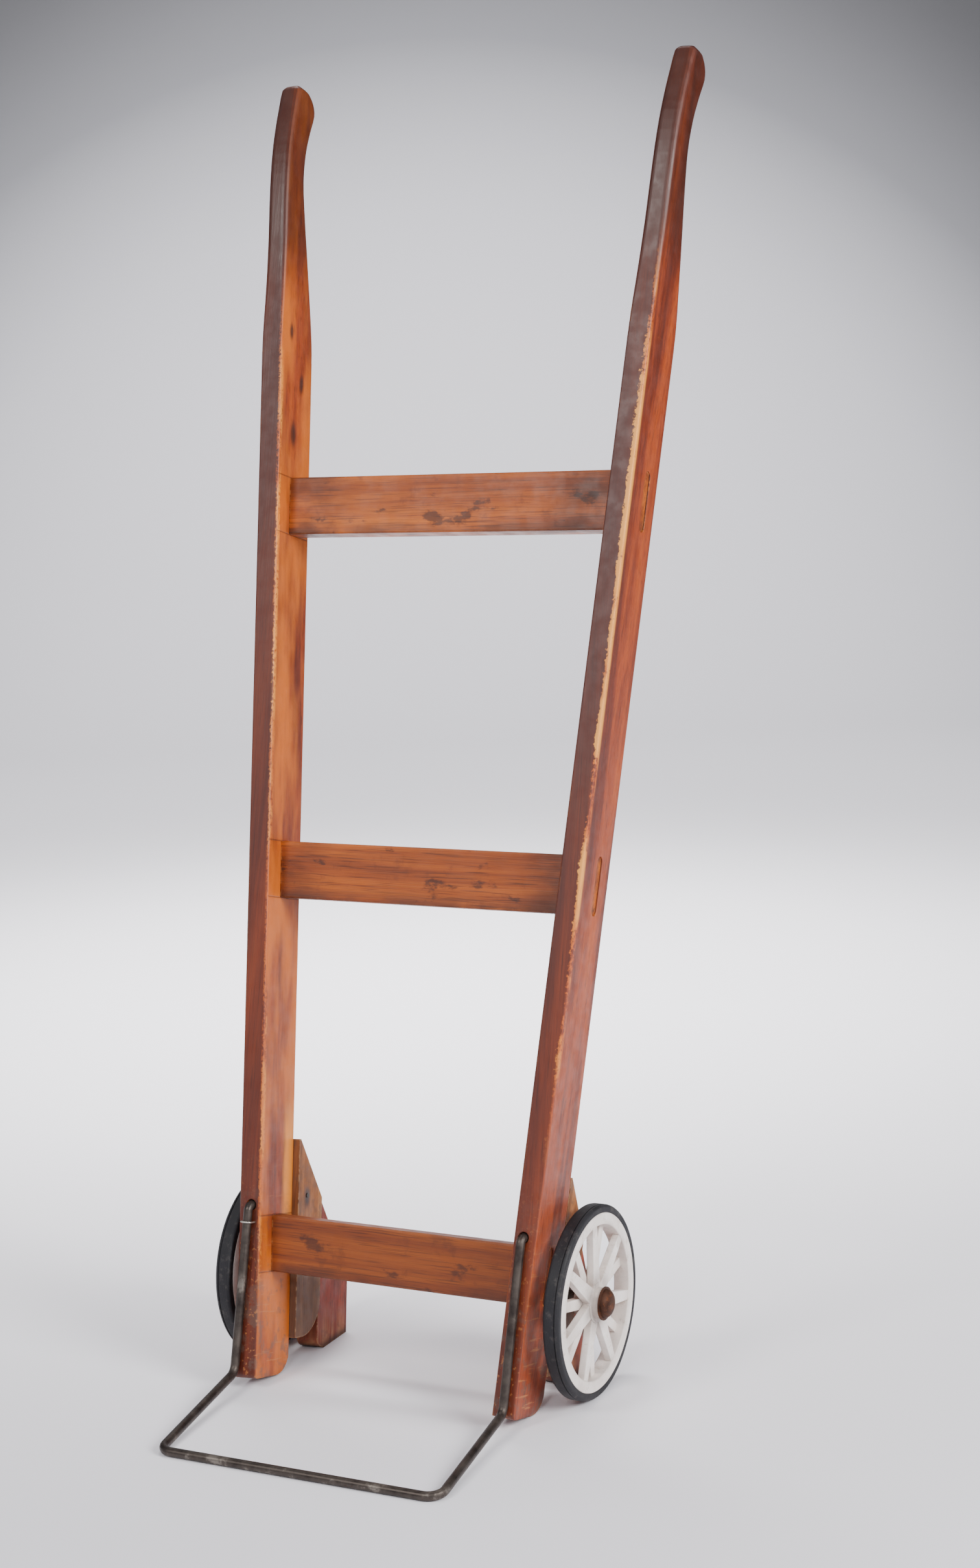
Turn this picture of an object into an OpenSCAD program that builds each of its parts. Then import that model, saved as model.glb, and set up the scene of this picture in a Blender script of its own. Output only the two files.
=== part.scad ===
// Wooden hand truck: two leaning side rails, three tenoned rungs, a bent steel toe loop,
// wooden leg brackets behind the rails and two plastic wheels on a fixed steel axle.
// Millimetres, +Z up, origin on the floor midway between the rails, where their front faces
// would reach it. The toe loop points to -Y, the legs to +Y, and the right rail is at +X.

/* [Frame] */
// Backward lean of the whole ladder frame, in degrees
lean = 14; // [11:1:17]
// Outward splay of each rail, in degrees
splay = 3.5; // [2:0.5:4]
// Half the width over the rails at their feet
foot_half = 164.7; // [140:0.1:198]
// Length of a rail from its foot to the tip of its handle
rail_len = 1437; // [1200:1:1730]
// Thickness of a rail, side to side
rail_w = 25.5; // [22:0.5:31]
// Depth of a rail, front to back
rail_d = 69; // [60:1:83]

/* [Rungs] */
// Height of the middle rung
rung_h = 62; // [50:1:74]
// Thickness of a rung, front to back
rung_t = 25; // [20:1:28]
// Setback of a rung behind the front faces of the rails
rung_setback = 26; // [20:1:28]
// Distance between the middles of neighbouring rungs
rung_pitch = 404; // [335:1:440]

/* [Toe loop] */
// Diameter of the toe rod
rod_d = 9.5; // [8:0.5:11]
// How far the toe loop reaches out in front of the rails
toe_reach = 177; // [145:1:215]
// Sideways set that the front of the toe loop has taken
toe_skew = 19; // [0:1:24]

/* [Wheels] */
// Outer diameter of a tyre
wheel_d = 203.2; // [180:0.1:210]
// Width of a tyre
tyre_w = 18; // [15:1:22]
// Spokes in each of the two rows of a wheel
spokes = 7; // [5:1:8]
// Diameter of the axle
axle_d = 12.7; // [10:0.1:14]
// How far the axle sits to the right of the middle
axle_slide = 6; // [2:0.5:7]

/* [Brackets] */
// Depth of the block that carries the axle, front to back
block_d = 52; // [44:1:60]
// Depth of the leg board behind that block, front to back
leg_d = 66; // [55:1:78]

/* [Fits] */
// Radial running clearance of a wheel on the axle
run_gap = 0.08; // [0.04:0.01:0.1]
// Gap round whatever is seated in wood
seat_gap = 0.15; // [0.1:0.05:0.25]

/* [Hidden] */

$fn = 64;
wood_rail = [0.42, 0.22, 0.13];
wood_rung = [0.58, 0.31, 0.14];
wood_leg = [0.50, 0.27, 0.20];
steel = [0.36, 0.34, 0.33];
rust = [0.40, 0.26, 0.19];
plastic = [0.88, 0.84, 0.74];
rubber = [0.16, 0.16, 0.17];

left = -1;
right = 1;
slope = tan(splay);
touch = 0.1;                         // air between two flat faces that meet
big = 500;
box_middle = 114;                     // depth of the middle of the whole object's box

// rails
arris = 2;                           // worn long edges of the rails and rungs
foot_round = 26;                     // worn back corner of a foot
toe_round = 4;                       // worn front corner of a foot
foot_clear = 0.5;                    // air between a foot and the floor
foot_v = (foot_clear + foot_round + (rail_d - foot_round)*sin(lean))/cos(lean) - foot_round;
tip_v = foot_v + rail_len;

// handle: distance below the tip, front and back of the section, rounding of its corners
grip = [
    [322, 0, rail_d, arris], [292, 0.2, rail_d - 0.5, arris + 0.5],
    [240, 2.5, rail_d - 6, 5], [192, 4, rail_d - 13, 6],
    [150, 4, rail_d - 19.5, 6.5], [110, 5, rail_d - 24, 6.5],
    [76, 8, rail_d - 20, 7], [48, 13, rail_d - 11, 7.5],
    [27, 18, rail_d - 2.5, 8], [14, 21, rail_d - 5, 8.5],
    [5, 24, rail_d - 15, 9], [1, 28, rail_d - 27, 6], [0, 31, rail_d - 33, 2.5]
];
grip_steps = 3;                      // rings between two neighbouring stations
grip_lap = 8;                        // how far the handle reaches down into the straight part
grip_sink = 0.08;                    // how far its faces lie inside that part there
corner_steps = 5;                    // points round a corner of the section

// rungs and their through tenons
rung_v = [for (i = [0:2]) 155 + i*rung_pitch];
rung_tall = [for (i = [0:2]) rung_h + 2*(i - 1)];
tenon_t = 12;
tenon_mid = rung_setback + 15;
tenon_recess = 1.5;
shoulder = rail_w/cos(splay);        // rail thickness measured across the frame

// wheel, from its middle plane
wheel_r = wheel_d/2;
rim_r = wheel_r - 8.2;
rim_in = rim_r - 12.4;               // inner radius of the rim
rim_half = tyre_w/2;
spoke_root = 17;                     // width of an outer spoke at the hub
spoke_tip = 10;                      // and at the rim
spoke_slim = 5;                      // how much narrower the inner ones are at the hub
spoke_t = 7.5;
spoke_face = rim_half - 1.2;         // outer face of the outer row
hub_r = 16;
boss_r = hub_r + 5;                  // the disc in which the spokes meet
hub_out = 15;
tread_round = 4;

// axle and what is on it
axle_r = axle_d/2;
washer_t = 1.6;
washer_r = 13;
cap_r = 17.5;
cap_t = 1.6;
cap_dome_r = 15;
cap_dome_h = 8;
cap_grip = 4;                        // length of axle inside a cap
axle_depth = rail_d + 25.7;
axle_v = (wheel_r + axle_depth*sin(lean))/cos(lean);
axle_y = axle_depth*cos(lean) + axle_v*sin(lean);
board_x = foot_half + slope*(axle_v + washer_r);
tyre_gap = 0.7;                      // between the left tyre and the rail beside it
left_x = foot_half + slope*(2*wheel_r + rail_d*sin(lean))/cos(lean) + tyre_gap + tyre_w/2;
right_x = left_x + 2*axle_slide;
hub_in = left_x - board_x - washer_t - 5*touch;
cap_gap = 0.4;                       // end play of a wheel against its cap

// brackets, in the frame of their rail
block_in = 7.5;                      // how far a block stands in from the rail's inner face
leg_in = 5;                          // the same for a leg board
leg_t = 26;
peak_v = [264, 256];                 // top of the sloping back, left and right
peak_flat = 3;
heel_drop = 154;                     // fall of that slope, down to the back of the leg
block_foot_v = 49;
block_round = 40;
leg_round = 12;                      // worn front corner of a leg's foot
leg_front = rail_d + block_d;
heel = leg_front + leg_d;
back_slope = heel_drop/(heel - rail_d - peak_flat);

// screws: height along the frame, depth of the buried tip, depth of the seat of the head
screw_x = 13;
screw_r = 3;
screw_head_r = 7;
screw_head_t = 4;
screws = [
    [70, 44, heel - 7],
    [160, rail_d + 5, slope_depth(160) - 11],
    [212, 36, slope_depth(212) - 10]
];

// the one nail that shows on the inner face of each block
nail_v = 202;
nail_depth = rail_d + 19;
nail_r = 1.4;
nail_head_r = 2.6;
nail_len = 24;

// toe loop, as a centre line through its corners
rod_r = rod_d/2;
rod_gap = 0.8;                       // air between the rod and the rails
rod_front = -(rod_r + rod_gap);
hole_x = foot_half - 2.7;                        // half the distance between its upper ends
bend_x = foot_half - 5.4;                      // the same between its bends at the feet
corner_x = foot_half - 6.9;                    // and between its front corners
bend_shift = -4.3;                   // how far those bends sit to the right of the middle
hole_v = 196;
hole_depth = 34;
mouth_depth = 3;                     // worn mouth of a rod hole
mouth_worn = 1.2;
bend_z = 19;
bend_v = (bend_z + rod_front*sin(lean))/cos(lean);
hole_bend = 7;                       // bend radii of the centre line: into the rails,
rod_bend = 12;                       // at the feet
corner_bend = 15;                    // and at the two front corners
rod_sides = 20;
bend_steps = 7;

// staple over the left rod
wire_r = 0.9;
staple_v = 178;
staple_half = rod_r + 1.3;
staple_depth = 9;
staple_x = loop_x(left, staple_v);

function slope_depth(v) = rail_d + peak_flat + (peak_v[1] - v)/back_slope;
function loop_x(side, v) =
    let (f = (v - bend_v)/(hole_v - bend_v))
    side*(bend_x + f*(hole_x - bend_x)) + (1 - f)*bend_shift;
function frame_point(x, depth, v) =
    [x, depth*cos(lean) + v*sin(lean), v*cos(lean) - depth*sin(lean)];
function unit(a) = a/norm(a);
function last(list) = list[len(list) - 1];

// ---------------------------------------------------------------- shared frames

// the leaning plane of the frame: x across, y in depth, z up along the rails
module in_frame() {
    rotate([-lean, 0, 0]) children();
}

// one rail's own frame: x = 0 is its outer face and the rail lies towards -x
module on_side(side) {
    in_frame()
        if (side == left)
            mirror([1, 0, 0]) translate([foot_half, 0, 0]) rotate([0, splay, 0]) children();
        else
            translate([foot_half, 0, 0]) rotate([0, splay, 0]) children();
}

// a wheel's place: +x points outwards and the middle plane is at x = 0
module at_wheel(side) {
    if (side == left)
        mirror([1, 0, 0]) translate([left_x, axle_y, wheel_r]) children();
    else
        translate([right_x, axle_y, wheel_r]) children();
}

// a cylinder along x, from x0 to x1
module across(x0, x1, r) {
    translate([x0, 0, 0]) rotate([0, 90, 0]) cylinder(h = x1 - x0, r = r);
}

// a cylinder along the depth, from y0 to y1
module inward(y0, y1, r) {
    translate([0, y0, 0]) rotate([-90, 0, 0]) cylinder(h = y1 - y0, r = r);
}

// a rectangle with round corners, from the origin
module round_rect(w, h, r) {
    translate([r, 0]) square([w - 2*r, h]);
    translate([0, r]) square([w, h - 2*r]);
    for (x = [r, w - r], y = [r, h - r])
        translate([x, y]) circle(r = r);
}

// an outline drawn as (depth, height), given its thickness across, from x0 to x1
module side_plate(x0, x1) {
    translate([x0, 0, 0]) rotate([90, 0, 90]) linear_extrude(x1 - x0) children();
}

// ---------------------------------------------------------------- swept rods

// points round one bend of a centre line at corner b, between a and c
function bend(a, b, c, radius) =
    let (
        u = unit(b - a),
        w = unit(c - b),
        turn = acos(u*w),
        n = unit(w - (w*u)*u),
        start = b - radius*tan(turn/2)*u
    )
    [for (i = [0:bend_steps])
        let (g = turn*i/bend_steps) start + radius*(sin(g)*u + (1 - cos(g))*n)];

function centre_line(corners, radii) = [
    corners[0],
    for (i = [1:len(corners) - 2])
        each bend(corners[i - 1], corners[i], corners[i + 1], radii[i - 1]),
    last(corners)
];

function tangent(path, i) =
    unit(path[min(i + 1, len(path) - 1)] - path[max(i - 1, 0)]);

// a sideways vector for every ring, turned as little as possible from ring to ring
function sideways(path, i, found) =
    i == len(path) ? found
    : let (t = tangent(path, i), s = last(found))
      sideways(path, i + 1, concat(found, [unit(s - (s*t)*t)]));

module rod(path, radius, sides, start_side) {
    ring_side = sideways(path, 1, [start_side]);
    points = [
        for (i = [0:len(path) - 1], k = [0:sides - 1])
            let (s = ring_side[i], t = tangent(path, i), up = cross(t, s))
            path[i] + radius*(cos(360*k/sides)*s + sin(360*k/sides)*up)
    ];
    rings(points, len(path), sides);
}

// skin over rings of points that follow each other, closed at both ends
module rings(points, count, sides) {
    walls = [
        for (i = [0:count - 2], k = [0:sides - 1])
            let (a = i*sides + k, b = i*sides + (k + 1)%sides)
            each [[a, a + sides, b], [b, a + sides, b + sides]]
    ];
    first_end = [for (k = [0:sides - 1]) k];
    last_end = [for (k = [sides - 1:-1:0]) (count - 1)*sides + k];
    polyhedron(points, concat(walls, [first_end, last_end]));
}

// ---------------------------------------------------------------- rails

// value of a grip station's column i at step s, on a smooth curve through the stations
function grip_at(s, i) =
    let (
        k = min(floor(s), len(grip) - 2),
        f = s - k,
        p0 = grip[max(k - 1, 0)][i],
        p1 = grip[k][i],
        p2 = grip[k + 1][i],
        p3 = grip[min(k + 2, len(grip) - 1)][i]
    )
    p1 + f*(p2 - p0)/2 + f*f*(p0 - 2.5*p1 + 2*p2 - p3/2) + f*f*f*(1.5*(p1 - p2) + (p3 - p0)/2);

function corner_points(x, y, r, from) =
    [for (k = [0:corner_steps - 1])
        let (a = from + 90*k/(corner_steps - 1)) [x + r*cos(a), y + r*sin(a)]];

// rounded section of the grip between two depths
function grip_section(front, back, r, w) = concat(
    corner_points(-r - (rail_w - w)/2, back - r, r, 0),
    corner_points(-rail_w + r + (rail_w - w)/2, back - r, r, 90),
    corner_points(-rail_w + r + (rail_w - w)/2, front + r, r, 180),
    corner_points(-r - (rail_w - w)/2, front + r, r, 270)
);

module handle() {
    stations = [for (i = [0:(len(grip) - 1)*grip_steps]) i/grip_steps];
    sides = 4*corner_steps;
    points = [
        for (s = stations)
            let (
                below = grip_at(s, 0),
                r = grip_at(s, 3),
                w = min(rail_w - 2*grip_sink, 4 + 8.4*sqrt(below + 2)),
                front = grip_at(s, 1) + grip_sink,
                back = grip_at(s, 2) - grip_sink
            )
            each [for (q = grip_section(front, back, min(r, (back - front)/2 - 0.2, w/2 - 0.2), w))
                [q[0], q[1], tip_v - below]]
    ];
    rings(points, len(stations), sides);
}

module rail_body() {
    straight_end = tip_v - grip[0][0] + grip_lap;
    intersection() {
        translate([-rail_w, 0, foot_v]) linear_extrude(straight_end - foot_v)
            round_rect(rail_w, rail_d, arris);
        side_plate(-rail_w - 1, 1) foot_outline(straight_end);
    }
    handle();
}

// side view of the straight part, with the worn corners of the foot
module foot_outline(top) {
    translate([0, foot_v + foot_round]) square([rail_d, top - foot_v - foot_round]);
    translate([0, foot_v + toe_round])
        square([rail_d - foot_round, foot_round - toe_round + 1]);
    translate([toe_round, foot_v]) square([rail_d - foot_round - toe_round, foot_round]);
    translate([toe_round, foot_v + toe_round]) circle(r = toe_round);
    translate([rail_d - foot_round, foot_v + foot_round]) circle(r = foot_round);
}

module rail(side) {
    color(wood_rail)
    difference() {
        on_side(side) rail_body();
        in_frame() {
            for (i = [0:2])
                translate([side*foot_half, 0, rung_v[i]])
                    slot_bar(-rail_w*3, rail_w*3, rung_tall[i], seat_gap);
            translate([loop_x(side, hole_v), 0, hole_v]) {
                inward(-5, hole_depth + 1, rod_r + 3*seat_gap);
                inward(-5, mouth_depth, rod_r + mouth_worn);
            }
            if (side == left)
                for (x = [-staple_half, staple_half])
                    translate([staple_x + x, 0, staple_v])
                        inward(-5, staple_depth + 0.5, wire_r + seat_gap);
        }
        on_side(side) screw_holes();
    }
}

// ---------------------------------------------------------------- rungs

// bar along x with the section of a tenon, grown by a gap
module slot_bar(x0, x1, h, gap) {
    r = tenon_t/2 + gap;
    half = h/2 - tenon_t/2;
    translate([x0, tenon_mid, 0]) rotate([90, 0, 90]) linear_extrude(x1 - x0) {
        translate([-r, -half]) square([2*r, 2*half]);
        for (y = [-half, half])
            translate([0, y]) circle(r = r);
    }
}

// prism between the two rails, whose ends lie inwards of the outer faces by inset
module between_rails(v, inset) {
    low = v - rung_h;
    high = v + rung_h;
    x_low = foot_half + slope*low - inset;
    x_high = foot_half + slope*high - inset;
    translate([0, rail_d, 0]) rotate([90, 0, 0]) linear_extrude(rail_d)
        polygon([[-x_low, low], [x_low, low], [x_high, high], [-x_high, high]]);
}

module rung(i) {
    v = rung_v[i];
    h = rung_tall[i];
    reach = foot_half + slope*(v + rung_h);
    color(wood_rung) in_frame() {
        intersection() {
            translate([-reach, rung_setback, v - h/2])
                rotate([90, 0, 90]) linear_extrude(2*reach) round_rect(rung_t, h, arris);
            between_rails(v, shoulder + touch);
        }
        intersection() {
            translate([0, 0, v]) slot_bar(-reach, reach, h, 0);
            between_rails(v, tenon_recess);
        }
    }
}

// ---------------------------------------------------------------- brackets

// side view of a whole bracket, from the back of the rail to the back of the leg
module bracket_outline(side, front, back) {
    peak = peak_v[side == left ? 0 : 1];
    function top(depth) = min(peak, peak - (depth - rail_d - peak_flat)*back_slope);
    knee = min(max(front, rail_d + peak_flat), back);
    polygon([
        [front, 0], [back, 0], [back, top(back)], [knee, top(knee)], [front, top(front) - 0.01]
    ]);
}

// cuts away what is below the worn, rounded foot of a block
module block_foot() {
    corner = [leg_front - block_round, block_foot_v + block_round];
    translate([rail_d - 1, -1]) square([block_d + 2, block_foot_v + 1]);
    difference() {
        translate([corner[0], block_foot_v - 1]) square([block_round + 1, block_round + 1]);
        translate(corner) circle(r = block_round);
    }
}

module bracket_block(side) {
    color(wood_leg)
    difference() {
        on_side(side) side_plate(-rail_w - block_in, 0) difference() {
            bracket_outline(side, rail_d + touch, leg_front);
            block_foot();
        }
        axle_bore();
        on_side(side) {
            screw_holes();
            nail_hole();
        }
    }
}

// a leg board with the front corner of its foot worn round
module leg_outline(side) {
    front = leg_front + touch;
    corner = [front + leg_round, (front + leg_round)*tan(lean) + leg_round/cos(lean)];
    intersection() {
        bracket_outline(side, front, heel);
        union() {
            translate([front, corner[1]]) square([leg_d, big]);
            translate([corner[0] + leg_round*sin(lean), 0]) square([leg_d, big]);
            translate(corner) circle(r = leg_round);
        }
    }
}

module leg(side) {
    inner = -rail_w - leg_in;
    color(wood_leg)
    difference() {
        on_side(side) side_plate(inner, inner + leg_t) leg_outline(side);
        translate([-big, -big, -big]) cube([2*big, 2*big, big]);
        on_side(side) screw_holes();
    }
}

module axle_bore() {
    translate([0, axle_y, wheel_r]) across(-big, big, axle_r + seat_gap);
}

module screw_holes() {
    for (s = screws)
        translate([-screw_x, 0, s[0]]) {
            inward(s[1] - 1, s[2], screw_r + seat_gap);
            inward(s[2], heel + 20, screw_head_r + 2*seat_gap);
        }
}

module screw(tip, seat) {
    inward(tip, seat + 1, screw_r);
    inward(seat, seat + screw_head_t, screw_head_r);
}

module bracket_screws() {
    color(rust)
    for (side = [left, right], s = screws)
        on_side(side) translate([-screw_x, 0, s[0]]) screw(s[1], s[2]);
}

module nail_hole() {
    inner = -rail_w - block_in;
    translate([0, nail_depth, nail_v]) across(inner - 1, inner + nail_len + 1, nail_r + seat_gap);
}

module bracket_nails() {
    inner = -rail_w - block_in;
    color(rust)
    for (side = [left, right])
        on_side(side) translate([0, nail_depth, nail_v]) {
            across(inner - 1, inner + nail_len, nail_r);
            across(inner - 1 - touch, inner - touch, nail_head_r);
        }
}

// ---------------------------------------------------------------- toe loop

module toe_loop() {
    front_y = -toe_reach;
    front_mid = toe_skew + bend_shift;
    corners = [
        frame_point(loop_x(left, hole_v), hole_depth, hole_v),
        frame_point(loop_x(left, hole_v), rod_front, hole_v),
        frame_point(loop_x(left, bend_v), rod_front, bend_v),
        [front_mid - corner_x, front_y, rod_r],
        [front_mid + corner_x, front_y, rod_r],
        frame_point(loop_x(right, bend_v), rod_front, bend_v),
        frame_point(loop_x(right, hole_v), rod_front, hole_v),
        frame_point(loop_x(right, hole_v), hole_depth, hole_v)
    ];
    radii = [hole_bend, rod_bend, corner_bend, corner_bend, rod_bend, hole_bend];
    color(steel) rod(centre_line(corners, radii), rod_r, rod_sides, [1, 0, 0]);
}

module rod_staple() {
    front = -(2*rod_r + rod_gap + wire_r + 0.3);
    corners = [
        frame_point(staple_x - staple_half, staple_depth, staple_v),
        frame_point(staple_x - staple_half, front, staple_v),
        frame_point(staple_x + staple_half, front, staple_v),
        frame_point(staple_x + staple_half, staple_depth, staple_v)
    ];
    color("silver") rod(centre_line(corners, [4, 4]), wire_r, 12, [1, 0, 0]);
}

// ---------------------------------------------------------------- wheels and axle

// ring about x, whose half section is drawn as (radius, x)
module turned() {
    rotate([0, 90, 0]) rotate_extrude($fn = 128) children();
}

// one row of flat spokes that narrow towards the rim, from x0 to x0 + spoke_t
module spoke_row(x0, root, phase) {
    r0 = hub_r - 3;
    r1 = rim_in + 1;
    for (i = [0:spokes - 1])
        rotate([phase + 360*i/spokes, 0, 0]) translate([x0, 0, 0])
            rotate([90, 0, 90]) linear_extrude(spoke_t) polygon([
                [-root/2, r0], [root/2, r0], [spoke_tip/2, r1], [-spoke_tip/2, r1]
            ]);
}

// the hub and the rim are turned so that they start between two spokes
module wheel(side) {
    edge = 0.8;
    clear_turn = 90/spokes;
    proud = 0.5;
    color(plastic) at_wheel(side) difference() {
        union() {
            rotate([clear_turn, 0, 0]) turned() polygon([
                [rim_r, -rim_half + edge], [rim_r, rim_half - edge], [rim_r - edge, rim_half],
                [rim_in + edge, rim_half], [rim_in, rim_half - edge],
                [rim_in, -rim_half + edge], [rim_in + edge, -rim_half],
                [rim_r - edge, -rim_half]
            ]);
            rotate([clear_turn, 0, 0]) across(-hub_in, hub_out, hub_r);
            rotate([clear_turn, 0, 0])
                across(-spoke_face - proud, spoke_face + proud, boss_r);
            spoke_row(spoke_face - spoke_t, spoke_root, 0);
            spoke_row(-spoke_face, spoke_root - spoke_slim, 180/spokes);
        }
        across(-hub_in - 1, hub_out + 1, axle_r + run_gap);
    }
}

// a tyre's half section, with round shoulders and one fine groove round the tread
module tyre_section() {
    inner = rim_r + touch;
    half = tyre_w/2;
    difference() {
        union() {
            translate([inner, -half]) square([wheel_r - tread_round - inner, tyre_w]);
            translate([inner, -half + tread_round])
                square([wheel_r - inner, tyre_w - 2*tread_round]);
            for (x = [-half + tread_round, half - tread_round])
                translate([wheel_r - tread_round, x]) circle(r = tread_round);
        }
        translate([wheel_r - 1, half - tread_round - 1]) square([2, 1]);
    }
}

module tyre(side) {
    color(rubber) at_wheel(side) turned() tyre_section();
}

module axle() {
    reach = hub_out + cap_gap + cap_grip;
    color(steel) translate([0, axle_y, wheel_r])
        across(-left_x - reach, right_x + reach, axle_r);
}

module ring(side, x0, x1, r) {
    color(steel) translate([0, axle_y, wheel_r])
        if (side == left)
            difference() {
                across(-x1, -x0, r);
                across(-big, big, axle_r + seat_gap);
            }
        else
            difference() {
                across(x0, x1, r);
                across(-big, big, axle_r + seat_gap);
            }
}

module washer(side) {
    ring(side, board_x + touch, board_x + touch + washer_t, washer_r);
}

module axle_spacer() {
    x0 = board_x + 2*touch + washer_t;
    ring(right, x0, right_x - hub_in - 3*touch, axle_r + 3);
}

// domed push-on cap, open towards the hub for the end of the axle
module axle_cap(side) {
    dome = [for (t = [0:10:90]) [cap_dome_r*pow(cos(t), 0.7), cap_t + cap_dome_h*sin(t)]];
    color(rust) at_wheel(side) translate([hub_out + cap_gap, 0, 0]) difference() {
        turned() polygon(concat([[0, 0], [cap_r, 0], [cap_r, cap_t]], dome));
        across(-1, cap_grip + touch, axle_r + touch/2);
    }
}

// the origin is below the middle of the whole object's box; until here it was where the
// plane of the rails' front faces meets the floor
module placed() {
    translate([0, -box_middle, 0]) children();
}

placed() rail(left);  // left_rail
placed() rail(right);  // right_rail
placed() rung(2);  // top_rung
placed() rung(1);  // middle_rung
placed() rung(0);  // bottom_rung
placed() bracket_block(left);  // left_bracket_block
placed() bracket_block(right);  // right_bracket_block
placed() leg(left);  // left_leg
placed() leg(right);  // right_leg
placed() bracket_screws();
placed() bracket_nails();
placed() toe_loop();
placed() rod_staple();
placed() axle();
placed() washer(left);  // left_washer
placed() washer(right);  // right_washer
placed() axle_spacer();
placed() wheel(left);  // left_wheel
placed() wheel(right);  // right_wheel
placed() tyre(left);  // left_tyre
placed() tyre(right);  // right_tyre
placed() axle_cap(left);  // left_axle_cap
placed() axle_cap(right);  // right_axle_cap
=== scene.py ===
"""Wooden hand truck: procedural finishes, studio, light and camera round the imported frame."""

import math

import bpy
from mathutils import Matrix, Vector


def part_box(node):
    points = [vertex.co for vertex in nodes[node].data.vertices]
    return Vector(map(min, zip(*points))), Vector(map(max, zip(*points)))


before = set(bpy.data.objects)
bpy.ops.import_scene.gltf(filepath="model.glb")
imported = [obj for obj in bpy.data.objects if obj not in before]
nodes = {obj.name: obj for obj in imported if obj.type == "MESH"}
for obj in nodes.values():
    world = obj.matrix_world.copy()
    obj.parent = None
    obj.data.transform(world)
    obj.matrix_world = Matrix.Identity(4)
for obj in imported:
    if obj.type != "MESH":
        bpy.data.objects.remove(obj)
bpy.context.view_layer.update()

# Finishes are placed on the leaning frame: x across, d into its depth from the rails' front
# faces, v along the rails from the floor. Lengths are in metres.
LEAN = math.radians(14.0)            # the frame leans back this far
SPLAY = math.radians(3.5)            # each rail leans out this far
FOOT_Y = -0.114                      # depth at which the rails' front plane meets the floor
RUNGS = ((0.155, 0.030), (0.559, 0.031), (0.963, 0.032))        # middle and half height, in v
KNOTS = ((0.030, 1.045, 0.010), (0.046, 1.105, 0.007), (0.022, 1.16, 0.006))  # d, v, radius
NAIL = (0.088, 0.202)                # d and v of the nail in a bracket block
RIM_IN = 0.0795                      # radius at which the spokes meet the rim
COAT_ROUGH = 0.42                    # old varnish and wax aren't glossy
CAM_YAW, CAM_PITCH, CAM_ROLL = (math.radians(a) for a in (26.507, 8.317, -2.134))
CAM_PLACE = Vector((1.2659, -2.3177, 1.0248))
CAM_LENS, CAM_SENSOR = 58.63, 36.0   # in millimetres; the sensor's long side is the height


# ---------------------------------------------------------------- node helpers
def tint(code):
    """A hex sRGB colour as linear RGBA."""
    parts = [int(code[i:i + 2], 16)/255 for i in (0, 2, 4)]
    lin = [c/12.92 if c <= 0.04045 else ((c + 0.055)/1.055)**2.4 for c in parts]
    return (*lin, 1.0)


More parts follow.
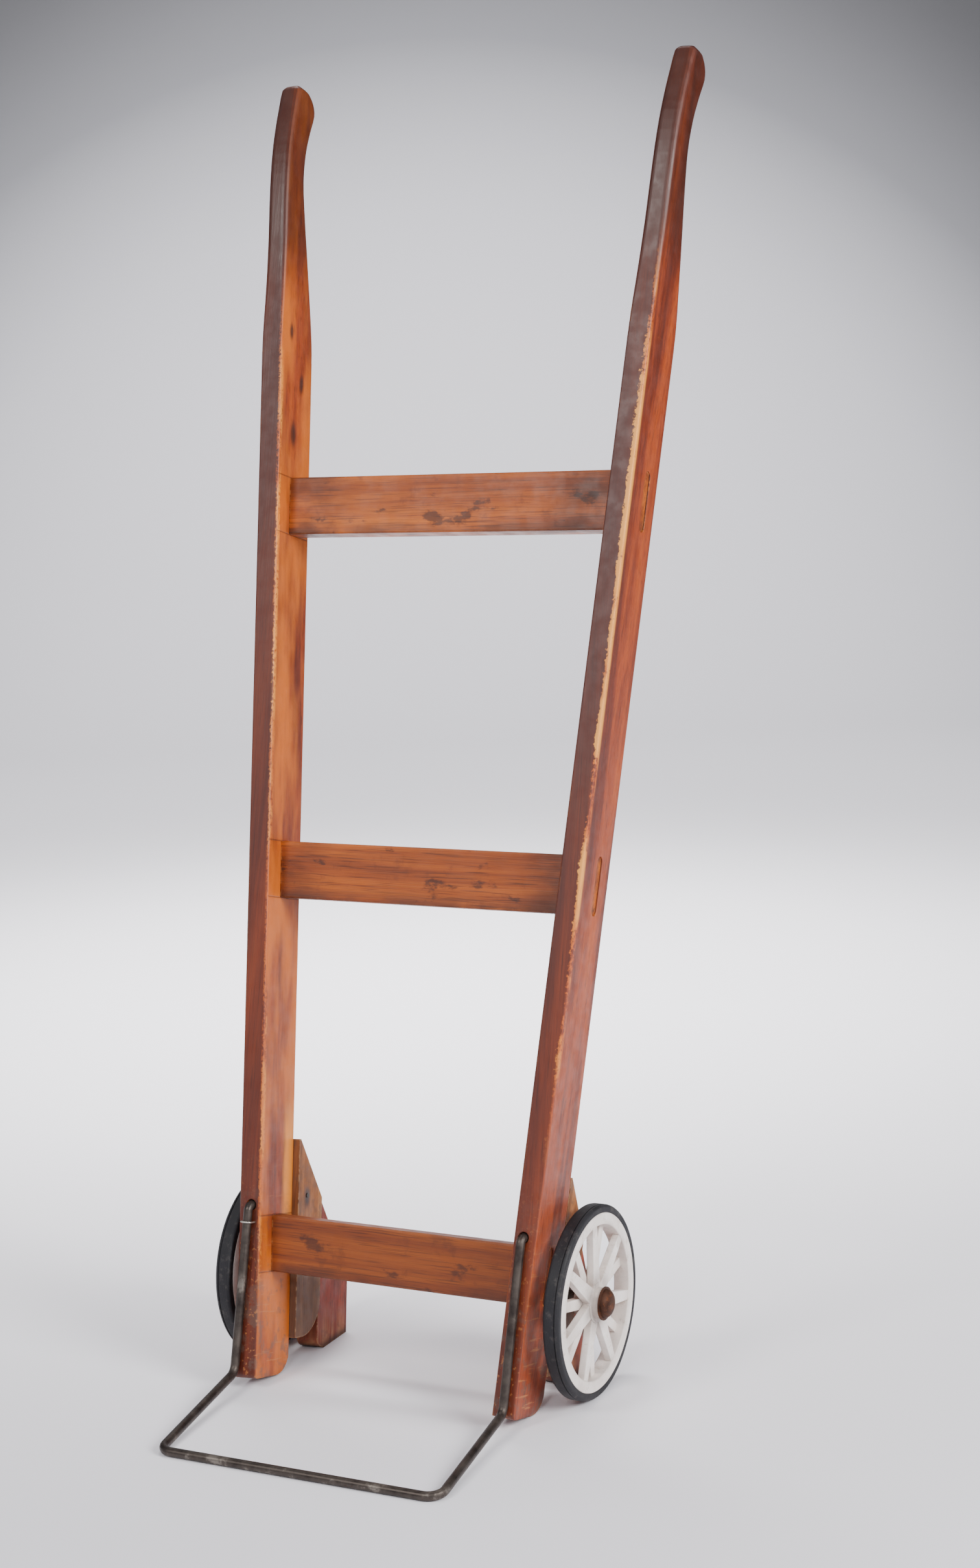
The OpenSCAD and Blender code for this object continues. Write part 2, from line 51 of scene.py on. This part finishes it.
class Finish:
    """A material being built; its methods return sockets."""

    def __init__(self, name, metallic=0.0, coat=0.0, specular=0.5):
        self.mat = bpy.data.materials.new(name)
        self.mat.use_nodes = True
        self.tree = self.mat.node_tree
        self.tree.nodes.clear()
        out = self.add("ShaderNodeOutputMaterial")
        self.shader = self.add("ShaderNodeBsdfPrincipled")
        self.shader.inputs["Metallic"].default_value = metallic
        self.shader.inputs["Coat Weight"].default_value = coat
        self.shader.inputs["Coat Roughness"].default_value = COAT_ROUGH
        self.shader.inputs["Specular IOR Level"].default_value = specular
        self.tree.links.new(self.shader.outputs[0], out.inputs[0])
        self.raw = self.add("ShaderNodeTexCoord").outputs["Object"]
        self.place = self.mapped(self.raw, shift=(0, -FOOT_Y, 0))

    def add(self, kind, **props):
        made = self.tree.nodes.new(kind)
        for key, value in props.items():
            setattr(made, key, value)
        return made

    def put(self, socket, value):
        if isinstance(value, bpy.types.NodeSocket):
            self.tree.links.new(value, socket)
        else:
            socket.default_value = value

    def mapped(self, vector, turn=(0, 0, 0), shift=(0, 0, 0), scale=(1, 1, 1)):
        m = self.add("ShaderNodeMapping")
        self.put(m.inputs["Vector"], vector)
        m.inputs["Rotation"].default_value = turn
        m.inputs["Location"].default_value = shift
        m.inputs["Scale"].default_value = scale
        return m.outputs[0]

    def split(self, vector):
        s = self.add("ShaderNodeSeparateXYZ")
        self.put(s.inputs[0], vector)
        return s.outputs

    def noise(self, vector, scale, detail=4.0, rough=0.55, twist=0.0):
        n = self.add("ShaderNodeTexNoise")
        self.put(n.inputs["Vector"], vector)
        n.inputs["Scale"].default_value = scale
        n.inputs["Detail"].default_value = detail
        n.inputs["Roughness"].default_value = rough
        n.inputs["Distortion"].default_value = twist
        return n.outputs["Fac"]

    def math(self, op, a, b=0.0):
        m = self.add("ShaderNodeMath", operation=op)
        self.put(m.inputs[0], a)
        self.put(m.inputs[1], b)
        return m.outputs[0]

    def times(self, *values):
        out = values[0]
        for value in values[1:]:
            out = self.math("MULTIPLY", out, value)
        return out

    def mean(self, a, b, share):
        """share of a and the rest of b."""
        return self.math("ADD", self.times(a, share), self.times(b, round(1.0 - share, 4)))

    def span(self, value, low, high, to_low=0.0, to_high=1.0):
        """value from low to high, eased, onto to_low to to_high."""
        m = self.add("ShaderNodeMapRange", interpolation_type="SMOOTHSTEP")
        for socket, v in zip(m.inputs, (value, low, high, to_low, to_high)):
            self.put(socket, v)
        return m.outputs[0]

    def near(self, value, centre, inner, outer):
        """1 within inner of centre, falling to 0 at outer."""
        gap = self.math("ABSOLUTE", self.math("SUBTRACT", value, centre))
        return self.span(gap, inner, outer, 1.0, 0.0)

    def blend(self, fac, a, b):
        m = self.add("ShaderNodeMix", data_type="RGBA")
        self.put(m.inputs[0], fac)
        self.put(m.inputs[6], a)
        self.put(m.inputs[7], b)
        return m.outputs[2]

    def ramp(self, fac, stops):
        r = self.add("ShaderNodeValToRGB")
        self.put(r.inputs[0], fac)
        bar = r.color_ramp.elements
        while len(bar) < len(stops):
            bar.new(0.5)
        for e, (pos, code) in zip(bar, stops):
            e.position = pos
            e.color = tint(code)
        return r.outputs[0]

    def vector(self, op, a, b):
        """One number from two vectors, such as their dot product."""
        m = self.add("ShaderNodeVectorMath", operation=op)
        self.put(m.inputs[0], a)
        self.put(m.inputs[1], b)
        return m.outputs["Value"]

    def facing(self, direction):
        """1 on the faces that look that way."""
        normal = self.add("ShaderNodeNewGeometry").outputs["Normal"]
        return self.span(self.vector("DOT_PRODUCT", normal, direction), 0.6, 0.95)

    def bevel(self, radius, samples):
        b = self.add("ShaderNodeBevel", samples=samples)
        b.inputs["Radius"].default_value = radius
        return b.outputs[0]

    def arris(self, radius):
        """1 on the sharp edges of the solid, within about radius."""
        flat = self.add("ShaderNodeNewGeometry").outputs["Normal"]
        return self.span(self.vector("DOT_PRODUCT", self.bevel(radius, 6), flat), 0.995, 0.86)

    def close(self, colour, rough, height, depth, strength, soft):
        """Colour, roughness and bump go to the shader, with edges rounded by soft."""
        self.put(self.shader.inputs["Base Color"], colour)
        self.put(self.shader.inputs["Roughness"], rough)
        bump = self.add("ShaderNodeBump")
        bump.inputs["Strength"].default_value = strength
        bump.inputs["Distance"].default_value = depth
        self.put(bump.inputs["Height"], height)
        self.put(bump.inputs["Normal"], self.bevel(soft, 4))
        self.put(self.shader.inputs["Normal"], bump.outputs[0])
        return self.mat


# ---------------------------------------------------------------- wood
def wood_base(f, place, along, seed, stops, ring=38.0):
    """Grain along one axis of place: (colour, fine lines, broad figure)."""
    squeeze = [1.0, 1.0, 1.0]
    squeeze[along] = 0.05
    stretched = f.mapped(place, shift=(seed, seed*0.7, seed*1.3), scale=squeeze)
    figure = f.noise(stretched, ring, 3.0, 0.6, 0.6)
    squeeze[along] = 0.022
    lines = f.noise(f.mapped(place, shift=(seed, 0, seed), scale=squeeze), 420.0, 3.0, 0.7)
    pores = f.span(f.noise(f.mapped(place, shift=(0, seed, 0), scale=squeeze), 900.0, 1.0),
                   0.58, 0.70)
    colour = f.ramp(f.mean(figure, lines, 0.72), stops)
    colour = f.blend(f.times(pores, 0.55), colour, tint("200c04"))
    colour = f.blend(f.times(f.span(lines, 0.52, 0.64), 0.38), colour, tint("2e1206"))
    return colour, lines, figure


def speckle(f, seed, scale=70.0, low=0.5, high=0.62):
    """Irregular spots; seed moves them."""
    return f.span(f.noise(f.mapped(f.place, shift=(seed, seed, seed)), scale, 6.0, 0.65),
                  low, high)


def rail_finish(side):
    """A rail: side is -1 for the left one and 1 for the right one."""
    f = Finish("left_rail_wood" if side < 0 else "right_rail_wood", coat=0.18)
    lean = f.mapped(f.place, turn=(LEAN, 0, 0))
    x, d, v = f.split(lean)
    colour, lines, _ = wood_base(f, lean, 2, 1.7 if side < 0 else 4.1, [
        (0.30, "3c1005"), (0.45, "6e2608"), (0.56, "983c0c"), (0.70, "b85410")])
    out = f.times(x, float(side))
    across = f.math("SUBTRACT", f.times(out, math.cos(SPLAY)), f.times(v, math.sin(SPLAY)))

    # painted shade makes the front faces darker and redder, more so higher up; painted light
    # makes the inner faces more orange, in broad patches
    front = f.facing((0.0, -math.cos(LEAN), math.sin(LEAN)))
    colour = f.blend(f.times(front, f.span(v, 0.3, 1.1, 0.5, 0.8)), colour, tint("3c1207"))
    inward = f.facing((-float(side), 0.0, 0.0))
    broad = f.noise(f.mapped(lean, shift=(3, 1, side), scale=(1, 1, 0.25)), 22.0, 3.0)
    colour = f.blend(f.times(inward, f.span(broad, 0.36, 0.60), 0.75), colour, tint("cf6a12"))

    # handling wear: bright arrises, in stretches
    edge = f.arris(0.0035)
    patchy = f.noise(f.mapped(lean, shift=(7, 2, side*3), scale=(1, 1, 0.3)), 34.0, 4.0, 0.6)
    chips = f.noise(f.mapped(lean, shift=(1, 5, side)), 230.0, 5.0, 0.7)
    torn = f.span(f.mean(patchy, chips, 0.65), 0.50, 0.60)
    colour = f.blend(f.times(edge, torn, 0.85), colour, tint("e08a30"))
    ragged = f.mean(patchy, chips, 0.55)
    torn_out = f.span(ragged, 0.42, 0.50)
    reach = f.math("ADD", across, f.times(f.math("SUBTRACT", ragged, 0.5), 0.03))
    at_front = f.span(d, 0.008, 0.003)
    how_bare = f.span(patchy, 0.42, 0.60)
    if side > 0:
        # the long worn streak down the front outer arris
        streak = f.times(at_front, f.span(reach, 0.1605, 0.1618),
                         f.near(v, 0.76, 0.34, 0.50), torn_out)
        colour = f.blend(f.times(streak, 0.9), colour,
                         f.blend(how_bare, tint("c25a10"), tint("f0a040")))
    else:
        # bare orange wood above the bottom rung, near the back edge
        bare = f.times(f.near(d, 0.058, 0.004, 0.016), f.near(v, 0.235, 0.03, 0.09), inward,
                       f.span(broad, 0.3, 0.5))
        colour = f.blend(f.times(bare, 0.8), colour, tint("ee9430"))
        # the arris between the front and inner faces is rubbed to bare wood
        bright = f.times(at_front, f.span(reach, 0.1415, 0.1400),
                         f.near(v, 0.66, 0.42, 0.60), torn_out)
        colour = f.blend(f.times(bright, 0.85), colour,
                         f.blend(how_bare, tint("c25a10"), tint("f09a3a")))
        # dark knots above the top rung
        flat = f.mapped(lean, scale=(0, 1, 0.45))
        for knot_d, knot_v, size in KNOTS:
            gap = f.vector("DISTANCE", flat, (0.0, knot_d, knot_v*0.45))
            spot = f.span(gap, size, size*0.25)
            colour = f.blend(f.times(spot, 0.8), colour, tint("241009"))

    # dirt and scuffs low down, with painted shade at the feet
    low = f.span(v, 0.30, 0.02)
    colour = f.blend(f.times(low, speckle(f, 11.0 + side), 0.55), colour, tint("5d4a3f"))
    scratch = f.noise(f.mapped(lean, turn=(0.35, 0, 0), shift=(9, 1, 4), scale=(1, 0.08, 1)),
                      260.0, 3.0)
    colour = f.blend(f.times(low, f.span(scratch, 0.60, 0.66), 0.6), colour, tint("b5713c"))
    # painted shade: the rails darken over their last 22 mm towards the floor
    colour = f.blend(f.span(v, 0.022, 0.004, 0.0, 0.6), colour, tint("2b1a14"))

    # scribed lines beside each rung
    cuts = 0.0
    for rung_v, half in RUNGS:
        for end in (-half, half):
            cuts = f.math("MAXIMUM", cuts, f.near(v, rung_v + end, 0.0004, 0.0011))
    colour = f.blend(f.times(cuts, inward, 0.5), colour, tint("20100a"))

    # the handles are worn smooth
    grip = f.span(v, 1.18, 1.28)
    colour = f.blend(f.times(grip, 0.72), colour, tint("3a1606"))
    rough = f.math("SUBTRACT", f.span(f.noise(lean, 60.0, 4.0), 0.3, 0.7, 0.42, 0.60),
                   f.times(grip, 0.12))
    height = f.math("SUBTRACT", f.times(lines, 0.7), f.times(cuts, inward, 0.8))
    return f.close(colour, rough, height, depth=0.0006, strength=0.45, soft=0.0018)


def rung_finish():
    """The three rungs, whose grain runs across the truck."""
    f = Finish("rung_wood_finish", coat=0.12)
    lean = f.mapped(f.place, turn=(LEAN, 0, 0))
    x, _, v = f.split(lean)
    colour, lines, _ = wood_base(f, lean, 0, 8.3, [
        (0.30, "5a2202"), (0.44, "903f02"), (0.56, "b25604"), (0.70, "ce6c06")], 44.0)
    # painted shade: darker towards the ends, where the rungs meet the rails, and along the lower
    # edges
    ends = f.span(f.math("ABSOLUTE", x), 0.10, 0.165)
    cloud = f.noise(f.mapped(lean, shift=(2, 2, 2), scale=(0.4, 1, 1)), 26.0, 4.0)
    colour = f.blend(f.times(ends, f.span(cloud, 0.38, 0.6), 0.65), colour, tint("3f1808"))
    # painted shade along each rung's lower edge
    lower_edge_shade = 0.0
    for rung_v, half in RUNGS:
        lower_edge_shade = f.math("MAXIMUM", lower_edge_shade, f.near(v, rung_v - half, 0.001, 0.016))
    colour = f.blend(f.times(lower_edge_shade, f.span(cloud, 0.35, 0.55), 0.6), colour, tint("3a1d13"))
    colour = f.blend(f.times(speckle(f, 23.0, 38.0, 0.56, 0.68), 0.4), colour, tint("5c2608"))
    blot = f.noise(f.mapped(lean, shift=(6, 1, 9), scale=(0.5, 1, 1)), 48.0, 5.0, 0.6)
    colour = f.blend(f.times(f.span(blot, 0.60, 0.68), 0.75), colour, tint("2c1006"))
    # the bottom rung is the darkest
    colour = f.blend(f.span(v, 0.30, 0.20, 0.0, 0.5), colour, tint("481c06"))
    edge = f.arris(0.003)
    colour = f.blend(f.times(edge, speckle(f, 5.0, 120.0, 0.42, 0.56), 0.65), colour,
                     tint("c48b52"))
    rough = f.span(f.noise(lean, 55.0, 4.0), 0.3, 0.7, 0.45, 0.62)
    return f.close(colour, rough, lines, depth=0.0005, strength=0.45, soft=0.0015)


def bracket_finish(name, stops, dirt, is_block):
    """A bracket block, or else a rear leg."""
    f = Finish(name, coat=0.04)
    lean = f.mapped(f.place, turn=(LEAN, 0, 0))
    _, d, v = f.split(lean)
    colour, lines, figure = wood_base(f, lean, 2, 3.1 + len(name)*0.37, stops, 46.0)
    if is_block:
        # a pale strip level with the bottom rung's lower edge, and painted shade in dark
        # grey-brown below it
        pale = f.times(f.near(v, 0.128, 0.004, 0.016), 0.55)
        shade_below_rung = f.span(v, 0.19, 0.10)
        colour = f.blend(f.times(shade_below_rung, 0.72), colour, tint("4a3a31"))
        colour = f.blend(pale, colour, tint("a8937c"))
        # rust from the nail has stained the wood round it
        nail_d, nail_v = NAIL
        gap = f.vector("DISTANCE", f.mapped(lean, scale=(0, 1, 0.5)), (0.0, nail_d, nail_v*0.5))
        colour = f.blend(f.span(gap, 0.009, 0.002, 0.0, 0.85), colour, tint("2e3138"))
        # painted shade: the block's front strip, in the gap behind the rail, is darker above the
        # bottom rung
        front = f.span(d, 0.082, 0.072)
        colour = f.blend(f.times(front, f.span(v, 0.15, 0.2), 0.6), colour, tint("4a2b1f"))
    else:
        # bare wood towards the foot, and painted shade along the bottom edge by the floor
        tip = f.times(f.span(v, 0.09, 0.03), f.span(figure, 0.35, 0.6), 0.55)
        colour = f.blend(tip, colour, tint("c39468"))
        colour = f.blend(f.span(f.split(f.place)[2], 0.010, 0.001, 0.0, 0.75), colour,
                         tint("2f221c"))
    colour = f.blend(f.times(speckle(f, 31.0, 60.0), 0.4), colour, tint(dirt))
    edge = f.arris(0.003)
    colour = f.blend(f.times(edge, speckle(f, 2.0, 150.0, 0.42, 0.58), 0.6), colour,
                     tint("c79a6b"))
    rough = f.span(f.noise(lean, 50.0, 4.0), 0.3, 0.7, 0.55, 0.75)
    return f.close(colour, rough, lines, depth=0.0006, strength=0.5, soft=0.0012)


# ---------------------------------------------------------------- metal, plastic, rubber
def steel_finish(name, dark, mid, rust, rough_low, rough_high, rust_from, glint_strength=0.0):
    """Metal with rust where a noise passes rust_from; the last argument sets how bright the
    painted highlights are.
    """
    f = Finish(name, metallic=0.82)
    cloud = f.noise(f.place, 45.0, 6.0, 0.65)
    colour = f.ramp(cloud, [(0.35, dark), (0.65, mid)])
    spots = f.span(f.noise(f.mapped(f.place, shift=(4, 4, 4)), 140.0, 6.0, 0.7),
                   rust_from, rust_from + 0.12)
    colour = f.blend(f.times(spots, 0.8), colour, tint(rust))
    rough = f.span(cloud, 0.35, 0.65, rough_low, rough_high)
    if glint_strength:
        # painted highlights where it bends at the floor and at its top ends, also made smoother
        # there
        z = f.split(f.place)[2]
        glint_mask = f.math("MAXIMUM", f.span(z, 0.012, 0.006), f.near(z, 0.105, 0.004, 0.02))
        glint_mask = f.times(glint_mask, f.span(cloud, 0.54, 0.64), glint_strength)
        colour = f.blend(glint_mask, colour, tint("9c948a"))
        rough = f.math("SUBTRACT", rough, f.times(glint_mask, 0.15))
    grit = f.noise(f.place, 600.0, 3.0)
    return f.close(colour, rough, grit, depth=0.0002, strength=0.4, soft=0.0004)


def wheel_place(f, side):
    """Position from the middle of a wheel's cap, distance across, and distance from the axle."""
    low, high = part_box("left_axle_cap" if side < 0 else "right_axle_cap")
    centre = (low + high)/2
    local = f.mapped(f.raw, shift=(-centre.x, -centre.y, -centre.z))
    x, y, z = f.split(local)
    radius = f.math("SQRT", f.math("ADD", f.times(y, y), f.times(z, z)))
    return local, x, radius


def plastic_finish(side):
    """The moulded wheels, cream white and a little grimy."""
    f = Finish("wheel_plastic_left" if side < 0 else "wheel_plastic_right", coat=0.05)
    local, _, radius = wheel_place(f, side)
    cloud = f.noise(local, 30.0, 5.0, 0.6)
    colour = f.ramp(cloud, [(0.30, "ddd0c6"), (0.48, "f0e6de"), (0.68, "fbf4ee")])
    # grime gathers round the hub; painted shade darkens the rim's inner wall in the corners
    # between the spokes
    hub = f.times(f.span(radius, 0.044, 0.020), f.span(cloud, 0.30, 0.58))
    colour = f.blend(f.times(hub, 0.6), colour, tint("6b5444"))
    # painted shade where the spokes meet the rim
    ring = f.times(f.near(radius, RIM_IN, 0.001, 0.009), f.span(cloud, 0.42, 0.62))
    colour = f.blend(f.times(ring, 0.35), colour, tint("8b7462"))
    spots = f.span(f.noise(f.mapped(local, shift=(3, 3, 3)), 75.0, 6.0, 0.7), 0.56, 0.66)
    colour = f.blend(f.times(spots, 0.30), colour, tint("9a7a5e"))
    fine = f.span(f.noise(local, 420.0, 4.0, 0.7), 0.60, 0.68)
    colour = f.blend(f.times(fine, 0.2), colour, tint("6b584a"))
    rough = f.span(cloud, 0.3, 0.7, 0.42, 0.62)
    return f.close(colour, rough, f.noise(local, 300.0, 4.0), depth=0.0002, strength=0.3,
                   soft=0.0014)


def tyre_finish(side):
    """The solid rubber tyres."""
    f = Finish("tyre_rubber_left" if side < 0 else "tyre_rubber_right", specular=0.4)
    local, x, radius = wheel_place(f, side)
    cloud = f.noise(local, 40.0, 5.0, 0.6)
    colour = f.ramp(cloud, [(0.30, "0f0e12"), (0.52, "18171b"), (0.72, "242328")])
    # faint turned lines round the tread and the sides
    lines = f.math("SINE", f.math("MULTIPLY", f.math("ADD", radius, x), 5200.0))
    dust = f.span(f.noise(f.mapped(local, shift=(5, 5, 5)), 120.0, 6.0, 0.7), 0.52, 0.68)
    colour = f.blend(f.times(dust, 0.22), colour, tint("6a625c"))
    colour = f.blend(f.times(f.span(lines, 0.4, 1.0), 0.14), colour, tint("4a484c"))
    rough = f.span(cloud, 0.3, 0.7, 0.55, 0.75)
    height = f.math("ADD", f.times(lines, 0.3), f.noise(local, 500.0, 4.0))
    return f.close(colour, rough, height, depth=0.0002, strength=0.5, soft=0.0008)


def dress(finish, *names):
    """These CAD nodes get this finish and no other."""
    for name in names:
        slots = nodes[name].data.materials
        slots.clear()
        slots.append(finish)


dress(rail_finish(-1), "left_rail")
dress(rail_finish(1), "right_rail")
dress(rung_finish(), "top_rung", "middle_rung", "bottom_rung")
dress(bracket_finish("block_wood", [
    (0.30, "6e3c1c"), (0.46, "9c5c2c"), (0.58, "b87440"), (0.72, "cc8c50")],
    "5a4436", True), "left_bracket_block", "right_bracket_block")
dress(bracket_finish("leg_wood", [
    (0.30, "5c1f14"), (0.46, "86301e"), (0.58, "9e4028"), (0.72, "b25234")],
    "5c382e", False), "left_leg", "right_leg")
dress(steel_finish("rod_steel", "3a3330", "5a524c", "4a2f22", 0.36, 0.52, 0.60, 0.5),
      "toe_loop")
dress(steel_finish("bright_wire", "9a948c", "d0cac0", "7a6450", 0.22, 0.38, 0.66),
      "rod_staple")
dress(steel_finish("fixing_steel", "3c3835", "6a645e", "57331f", 0.38, 0.55, 0.54),
      "bracket_screws", "bracket_nails", "axle", "left_washer", "right_washer", "axle_spacer")
dress(steel_finish("cap_rust", "3a241b", "5e4032", "6e4128", 0.55, 0.75, 0.50),
      "left_axle_cap", "right_axle_cap")
for sign, word in ((-1, "left"), (1, "right")):
    dress(plastic_finish(sign), word + "_wheel")
    dress(tyre_finish(sign), word + "_tyre")


# ---------------------------------------------------------------- studio
def shown(name, data):
    """A new object in the scene that holds data."""
    made = bpy.data.objects.new(name, data)
    bpy.context.scene.collection.objects.link(made)
    return made


def turned(x, y, z):
    """A place given from the camera's side of the object, without the shift to its foot."""
    return Matrix.Rotation(CAM_YAW, 3, "Z") @ Vector((x, y, z))


def sweep():
    """Floor that curves up into a backdrop far behind, as one smooth sheet."""
    front, start, radius, top, half_width, steps = -12.0, 5.4, 2.5, 10.0, 14.0, 16
    profile = [(front, 0.0), (start, 0.0)]
    for i in range(1, steps + 1):
        a = math.pi/2*i/steps
        profile.append((start + radius*math.sin(a), radius*(1 - math.cos(a))))
    profile.append((start + radius, top))
    verts, faces = [], []
    for y, z in profile:
        verts += [(-half_width, y, z), (half_width, y, z)]
    for i in range(len(profile) - 1):
        faces.append((2*i, 2*i + 1, 2*i + 3, 2*i + 2))
    mesh = bpy.data.meshes.new("studio_sweep")
    mesh.from_pydata(verts, [], faces)
    for p in mesh.polygons:
        p.use_smooth = True
    made = shown("studio_sweep", mesh)
    made.rotation_euler = (0, 0, CAM_YAW)
    made.location = (0, FOOT_Y, 0)
    # white round the object, with painted shade greyer towards the top and the far corners
    f = Finish("studio_paper", specular=0.2)
    x, y, z = f.split(f.raw)
    behind = f.span(y, 1.5, 5.0)
    backdrop_shade = f.math("ADD", f.times(x, x, behind, 0.16), f.times(z, z, 0.20))
    colour = f.ramp(f.span(backdrop_shade, 0.0, 2.2), [
        (0.0, "f8f6fb"), (0.22, "e0dfe4"), (0.6, "96969a"), (1.0, "5e5e60")])
    f.put(f.shader.inputs["Base Color"], colour)
    f.put(f.shader.inputs["Roughness"], f.span(f.noise(f.place, 3.0), 0.3, 0.7, 0.75, 0.85))
    mesh.materials.append(f.mat)


def lamp(name, place, aim, size, power, colour=(1, 1, 1)):
    """A round soft light at place that looks at aim, both from the frame's foot."""
    data = bpy.data.lights.new(name, "AREA")
    data.shape = "DISK"
    data.size = size
    data.energy = power
    data.color = colour
    made = shown(name, data)
    made.location = Vector(place) + Vector((0, FOOT_Y, 0))
    made.rotation_euler = (Vector(aim) - Vector(place)).to_track_quat("-Z", "Y").to_euler()


def glow():
    """A wide soft pool of light on the floor behind the object."""
    data = bpy.data.lights.new("glow", "SPOT")
    data.energy = 900.0
    data.spot_size = math.radians(70.0)
    data.spot_blend = 1.0
    data.shadow_soft_size = 0.6
    shown("glow", data).location = turned(0.0, 1.9, 3.0) + Vector((0, FOOT_Y, 0))


def camera():
    """The photograph's viewpoint: yaw round the object, pitch down, and a slight roll."""
    fwd = Vector((-math.sin(CAM_YAW)*math.cos(CAM_PITCH),
                  math.cos(CAM_YAW)*math.cos(CAM_PITCH), -math.sin(CAM_PITCH)))
    right = Vector((math.cos(CAM_YAW), math.sin(CAM_YAW), 0))
    up = right.cross(fwd)
    level = math.cos(CAM_ROLL)*right + math.sin(CAM_ROLL)*up
    tall = -math.sin(CAM_ROLL)*right + math.cos(CAM_ROLL)*up
    data = bpy.data.cameras.new("camera")
    data.lens = CAM_LENS
    data.sensor_width = CAM_SENSOR
    data.clip_end = 60.0
    made = shown("camera", data)
    turn = Matrix((level, tall, -fwd)).transposed().to_4x4()
    made.matrix_world = Matrix.Translation(CAM_PLACE) @ turn
    bpy.context.scene.camera = made


camera()
sweep()
lamp("key", (-1.1, -2.4, 2.6), (0.0, 0.1, 0.6), 1.0, 44.0, (1.0, 0.98, 0.95))
lamp("fill", (0.6, -2.9, 2.2), (0.0, 0.1, 0.5), 1.0, 24.0, (0.97, 0.98, 1.0))
lamp("side", (2.7, -0.5, 1.7), (0.0, 0.1, 0.6), 1.4, 105.0)
lamp("wall", turned(0.0, 3.0, 5.0), turned(0.0, 7.6, 1.2), 2.5, 330.0)
glow()
world = bpy.data.worlds.new("studio")
world.use_nodes = True
world.node_tree.nodes["Background"].inputs[0].default_value = (0.92, 0.92, 1.0, 1.0)
world.node_tree.nodes["Background"].inputs[1].default_value = 0.45
bpy.context.scene.world = world
